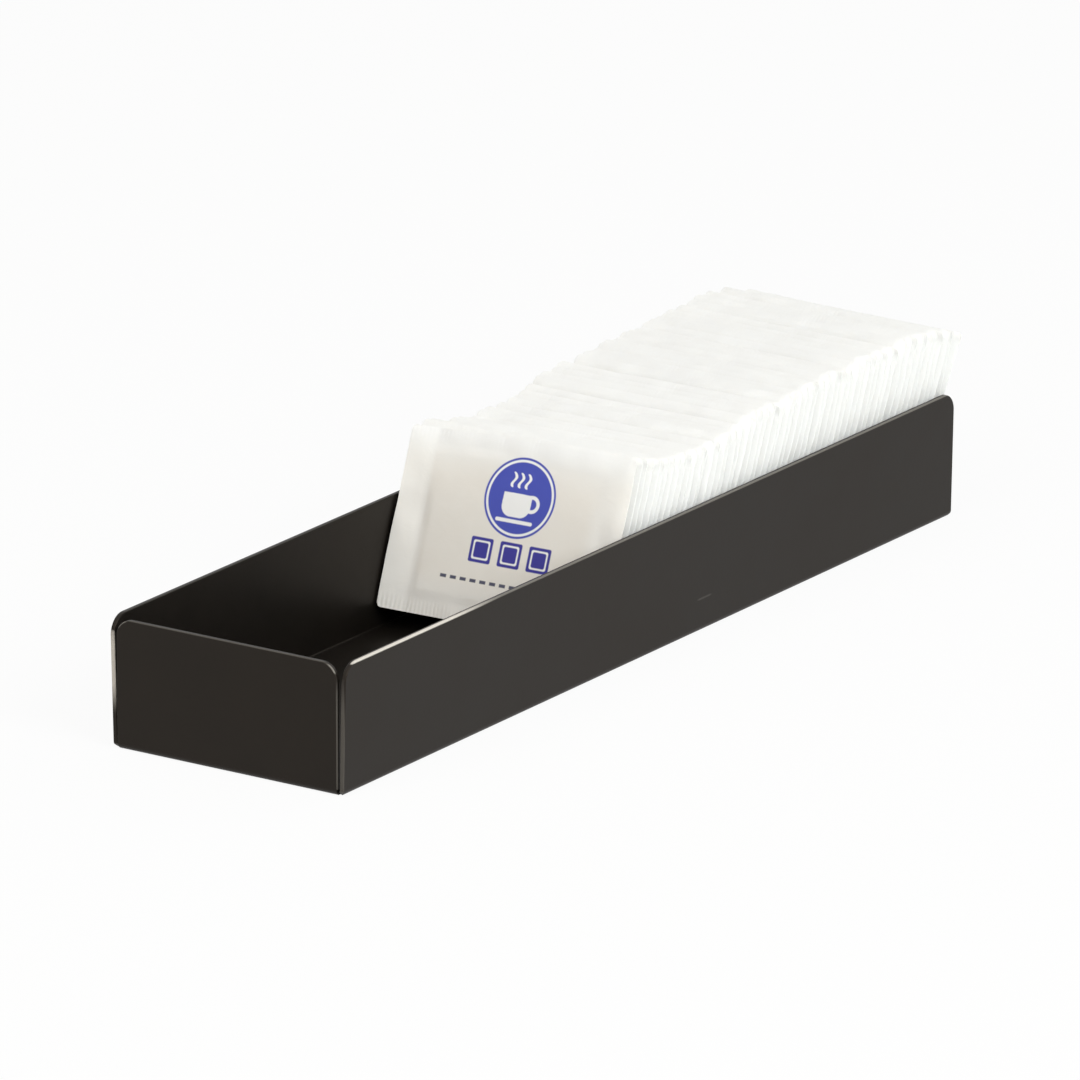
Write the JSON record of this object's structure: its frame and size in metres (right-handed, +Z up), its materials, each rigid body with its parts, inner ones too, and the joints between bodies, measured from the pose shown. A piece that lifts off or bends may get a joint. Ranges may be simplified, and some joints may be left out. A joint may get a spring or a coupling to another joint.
{
  "type": "sugar packet caddy",
  "caption": "Long open tray folded from one sheet of black powder-coated steel, holding a row of white paper sugar packets that lean back on its far end wall.",
  "frame": {"origin": "centre of the tray's underside, on the surface that it stands on", "axes": "+X across the tray to its right side wall, +Y along the tray from the empty near end to the far end that the packets lean on, +Z up"},
  "size_m": [0.0674, 0.2686, 0.0519],
  "materials": {
    "powder_coated_steel": "satin warm-black powder coat",
    "packet_paper": "smooth white sealed paper"
  },
  "bodies": {
    "tray": {"tray": "powder_coated_steel"},
    "packet_01": {"packet_01": "packet_paper"},
    "packet_02": {"packet_02": "packet_paper"},
    "packet_03": {"packet_03": "packet_paper"},
    "packet_04": {"packet_04": "packet_paper"},
    "packet_05": {"packet_05": "packet_paper"},
    "packet_06": {"packet_06": "packet_paper"},
    "packet_07": {"packet_07": "packet_paper"},
    "packet_08": {"packet_08": "packet_paper"},
    "packet_09": {"packet_09": "packet_paper"},
    "packet_10": {"packet_10": "packet_paper"},
    "packet_11": {"packet_11": "packet_paper"},
    "packet_12": {"packet_12": "packet_paper"},
    "packet_13": {"packet_13": "packet_paper"},
    "packet_14": {"packet_14": "packet_paper"},
    "packet_15": {"packet_15": "packet_paper"},
    "packet_16": {"packet_16": "packet_paper"},
    "packet_17": {"packet_17": "packet_paper"},
    "packet_18": {"packet_18": "packet_paper"},
    "packet_19": {"packet_19": "packet_paper"},
    "packet_20": {"packet_20": "packet_paper"},
    "packet_21": {"packet_21": "packet_paper"},
    "packet_22": {"packet_22": "packet_paper"},
    "packet_23": {"packet_23": "packet_paper"},
    "packet_24": {"packet_24": "packet_paper"},
    "packet_25": {"packet_25": "packet_paper"},
    "packet_26": {"packet_26": "packet_paper"},
    "packet_27": {"packet_27": "packet_paper"},
    "packet_28": {"packet_28": "packet_paper"},
    "packet_29": {"packet_29": "packet_paper"},
    "packet_30": {"packet_30": "packet_paper"},
    "packet_31": {"packet_31": "packet_paper"},
    "packet_32": {"packet_32": "packet_paper"},
    "packet_33": {"packet_33": "packet_paper"},
    "packet_34": {"packet_34": "packet_paper"},
    "packet_35": {"packet_35": "packet_paper"},
    "packet_36": {"packet_36": "packet_paper"},
    "packet_37": {"packet_37": "packet_paper"},
    "packet_38": {"packet_38": "packet_paper"},
    "packet_39": {"packet_39": "packet_paper"},
    "packet_40": {"packet_40": "packet_paper"},
    "packet_41": {"packet_41": "packet_paper"},
    "packet_42": {"packet_42": "packet_paper"},
    "packet_43": {"packet_43": "packet_paper"},
    "packet_44": {"packet_44": "packet_paper"},
    "packet_45": {"packet_45": "packet_paper"},
    "packet_46": {"packet_46": "packet_paper"},
    "packet_47": {"packet_47": "packet_paper"},
    "packet_48": {"packet_48": "packet_paper"},
    "packet_49": {"packet_49": "packet_paper"},
    "packet_50": {"packet_50": "packet_paper"},
    "packet_51": {"packet_51": "packet_paper"},
    "packet_52": {"packet_52": "packet_paper"},
    "packet_53": {"packet_53": "packet_paper"},
    "packet_54": {"packet_54": "packet_paper"},
    "packet_55": {"packet_55": "packet_paper"},
    "packet_56": {"packet_56": "packet_paper"},
    "packet_57": {"packet_57": "packet_paper"},
    "packet_58": {"packet_58": "packet_paper"}
  },
  "joints": [
    {"name": "packet_01_lift", "type": "slide", "parent": "tray", "child": "packet_01", "axis": [-0.0105, 0.3745, 0.9272], "range_m": [0, 0.054]},
    {"name": "packet_02_lift", "type": "slide", "parent": "tray", "child": "packet_02", "axis": [-0.0105, 0.3745, 0.9272], "range_m": [0, 0.054]},
    {"name": "packet_03_lift", "type": "slide", "parent": "tray", "child": "packet_03", "axis": [-0.0105, 0.3745, 0.9272], "range_m": [0, 0.054]},
    {"name": "packet_04_lift", "type": "slide", "parent": "tray", "child": "packet_04", "axis": [-0.0105, 0.3745, 0.9272], "range_m": [0, 0.054]},
    {"name": "packet_05_lift", "type": "slide", "parent": "tray", "child": "packet_05", "axis": [-0.0105, 0.3745, 0.9272], "range_m": [0, 0.054]},
    {"name": "packet_06_lift", "type": "slide", "parent": "tray", "child": "packet_06", "axis": [-0.0105, 0.3745, 0.9272], "range_m": [0, 0.054]},
    {"name": "packet_07_lift", "type": "slide", "parent": "tray", "child": "packet_07", "axis": [-0.0105, 0.3745, 0.9272], "range_m": [0, 0.054]},
    {"name": "packet_08_lift", "type": "slide", "parent": "tray", "child": "packet_08", "axis": [-0.0105, 0.3745, 0.9272], "range_m": [0, 0.054]},
    {"name": "packet_09_lift", "type": "slide", "parent": "tray", "child": "packet_09", "axis": [-0.0105, 0.3745, 0.9272], "range_m": [0, 0.054]},
    {"name": "packet_10_lift", "type": "slide", "parent": "tray", "child": "packet_10", "axis": [-0.0105, 0.3745, 0.9272], "range_m": [0, 0.054]},
    {"name": "packet_11_lift", "type": "slide", "parent": "tray", "child": "packet_11", "axis": [-0.0105, 0.3745, 0.9272], "range_m": [0, 0.054]},
    {"name": "packet_12_lift", "type": "slide", "parent": "tray", "child": "packet_12", "axis": [-0.0105, 0.3745, 0.9272], "range_m": [0, 0.054]},
    {"name": "packet_13_lift", "type": "slide", "parent": "tray", "child": "packet_13", "axis": [-0.0105, 0.3745, 0.9272], "range_m": [0, 0.054]},
    {"name": "packet_14_lift", "type": "slide", "parent": "tray", "child": "packet_14", "axis": [-0.0105, 0.3745, 0.9272], "range_m": [0, 0.054]},
    {"name": "packet_15_lift", "type": "slide", "parent": "tray", "child": "packet_15", "axis": [-0.0065, 0.3745, 0.9272], "range_m": [0, 0.054]},
    {"name": "packet_16_lift", "type": "slide", "parent": "tray", "child": "packet_16", "axis": [-0.0065, 0.3745, 0.9272], "range_m": [0, 0.054]},
    {"name": "packet_17_lift", "type": "slide", "parent": "tray", "child": "packet_17", "axis": [-0.0065, 0.3745, 0.9272], "range_m": [0, 0.054]},
    {"name": "packet_18_lift", "type": "slide", "parent": "tray", "child": "packet_18", "axis": [-0.0065, 0.3745, 0.9272], "range_m": [0, 0.054]},
    {"name": "packet_19_lift", "type": "slide", "parent": "tray", "child": "packet_19", "axis": [-0.0065, 0.3745, 0.9272], "range_m": [0, 0.054]},
    {"name": "packet_20_lift", "type": "slide", "parent": "tray", "child": "packet_20", "axis": [-0.0065, 0.3745, 0.9272], "range_m": [0, 0.054]},
    {"name": "packet_21_lift", "type": "slide", "parent": "tray", "child": "packet_21", "axis": [-0.0033, 0.3746, 0.9272], "range_m": [0, 0.054]},
    {"name": "packet_22_lift", "type": "slide", "parent": "tray", "child": "packet_22", "axis": [-0.0033, 0.3746, 0.9272], "range_m": [0, 0.054]},
    {"name": "packet_23_lift", "type": "slide", "parent": "tray", "child": "packet_23", "axis": [-0.0033, 0.3746, 0.9272], "range_m": [0, 0.054]},
    {"name": "packet_24_lift", "type": "slide", "parent": "tray", "child": "packet_24", "axis": [-0.0033, 0.3746, 0.9272], "range_m": [0, 0.054]},
    {"name": "packet_25_lift", "type": "slide", "parent": "tray", "child": "packet_25", "axis": [-0.0033, 0.3746, 0.9272], "range_m": [0, 0.054]},
    {"name": "packet_26_lift", "type": "slide", "parent": "tray", "child": "packet_26", "axis": [-0.0033, 0.3746, 0.9272], "range_m": [0, 0.054]},
    {"name": "packet_27_lift", "type": "slide", "parent": "tray", "child": "packet_27", "axis": [-0.0033, 0.3746, 0.9272], "range_m": [0, 0.054]},
    {"name": "packet_28_lift", "type": "slide", "parent": "tray", "child": "packet_28", "axis": [-0.0007, 0.3746, 0.9272], "range_m": [0, 0.054]},
    {"name": "packet_29_lift", "type": "slide", "parent": "tray", "child": "packet_29", "axis": [-0.0007, 0.3746, 0.9272], "range_m": [0, 0.054]},
    {"name": "packet_30_lift", "type": "slide", "parent": "tray", "child": "packet_30", "axis": [-0.0007, 0.3746, 0.9272], "range_m": [0, 0.054]},
    {"name": "packet_31_lift", "type": "slide", "parent": "tray", "child": "packet_31", "axis": [-0.0007, 0.3746, 0.9272], "range_m": [0, 0.054]},
    {"name": "packet_32_lift", "type": "slide", "parent": "tray", "child": "packet_32", "axis": [-0.0007, 0.3746, 0.9272], "range_m": [0, 0.054]},
    {"name": "packet_33_lift", "type": "slide", "parent": "tray", "child": "packet_33", "axis": [-0.0007, 0.3746, 0.9272], "range_m": [0, 0.054]},
    {"name": "packet_34_lift", "type": "slide", "parent": "tray", "child": "packet_34", "axis": [-0.0007, 0.3746, 0.9272], "range_m": [0, 0.054]},
    {"name": "packet_35_lift", "type": "slide", "parent": "tray", "child": "packet_35", "axis": [-0.0033, 0.3746, 0.9272], "range_m": [0, 0.054]},
    {"name": "packet_36_lift", "type": "slide", "parent": "tray", "child": "packet_36", "axis": [-0.0033, 0.3746, 0.9272], "range_m": [0, 0.054]},
    {"name": "packet_37_lift", "type": "slide", "parent": "tray", "child": "packet_37", "axis": [-0.0033, 0.3746, 0.9272], "range_m": [0, 0.054]},
    {"name": "packet_38_lift", "type": "slide", "parent": "tray", "child": "packet_38", "axis": [-0.0033, 0.3746, 0.9272], "range_m": [0, 0.054]},
    {"name": "packet_39_lift", "type": "slide", "parent": "tray", "child": "packet_39", "axis": [-0.0033, 0.3746, 0.9272], "range_m": [0, 0.054]},
    {"name": "packet_40_lift", "type": "slide", "parent": "tray", "child": "packet_40", "axis": [-0.0078, 0.3745, 0.9272], "range_m": [0, 0.054]},
    {"name": "packet_41_lift", "type": "slide", "parent": "tray", "child": "packet_41", "axis": [-0.0078, 0.3745, 0.9272], "range_m": [0, 0.054]},
    {"name": "packet_42_lift", "type": "slide", "parent": "tray", "child": "packet_42", "axis": [-0.0078, 0.3745, 0.9272], "range_m": [0, 0.054]},
    {"name": "packet_43_lift", "type": "slide", "parent": "tray", "child": "packet_43", "axis": [-0.0078, 0.3745, 0.9272], "range_m": [0, 0.054]},
    {"name": "packet_44_lift", "type": "slide", "parent": "tray", "child": "packet_44", "axis": [-0.0078, 0.3745, 0.9272], "range_m": [0, 0.054]},
    {"name": "packet_45_lift", "type": "slide", "parent": "tray", "child": "packet_45", "axis": [-0.0078, 0.3745, 0.9272], "range_m": [0, 0.054]},
    {"name": "packet_46_lift", "type": "slide", "parent": "tray", "child": "packet_46", "axis": [-0.0078, 0.3745, 0.9272], "range_m": [0, 0.054]},
    {"name": "packet_47_lift", "type": "slide", "parent": "tray", "child": "packet_47", "axis": [-0.0078, 0.3745, 0.9272], "range_m": [0, 0.054]},
    {"name": "packet_48_lift", "type": "slide", "parent": "tray", "child": "packet_48", "axis": [-0.0144, 0.3743, 0.9272], "range_m": [0, 0.054]},
    {"name": "packet_49_lift", "type": "slide", "parent": "tray", "child": "packet_49", "axis": [-0.0144, 0.3743, 0.9272], "range_m": [0, 0.054]},
    {"name": "packet_50_lift", "type": "slide", "parent": "tray", "child": "packet_50", "axis": [-0.0144, 0.3743, 0.9272], "range_m": [0, 0.054]},
    {"name": "packet_51_lift", "type": "slide", "parent": "tray", "child": "packet_51", "axis": [-0.0144, 0.3743, 0.9272], "range_m": [0, 0.054]},
    {"name": "packet_52_lift", "type": "slide", "parent": "tray", "child": "packet_52", "axis": [-0.0144, 0.3743, 0.9272], "range_m": [0, 0.054]},
    {"name": "packet_53_lift", "type": "slide", "parent": "tray", "child": "packet_53", "axis": [-0.0144, 0.3743, 0.9272], "range_m": [0, 0.054]},
    {"name": "packet_54_lift", "type": "slide", "parent": "tray", "child": "packet_54", "axis": [-0.0144, 0.3743, 0.9272], "range_m": [0, 0.054]},
    {"name": "packet_55_lift", "type": "slide", "parent": "tray", "child": "packet_55", "axis": [-0.0144, 0.3743, 0.9272], "range_m": [0, 0.054]},
    {"name": "packet_56_lift", "type": "slide", "parent": "tray", "child": "packet_56", "axis": [-0.0144, 0.3743, 0.9272], "range_m": [0, 0.054]},
    {"name": "packet_57_lift", "type": "slide", "parent": "tray", "child": "packet_57", "axis": [-0.0144, 0.3743, 0.9272], "range_m": [0, 0.054]},
    {"name": "packet_58_lift", "type": "slide", "parent": "tray", "child": "packet_58", "axis": [-0.0144, 0.3743, 0.9272], "range_m": [0, 0.054]}
  ]
}
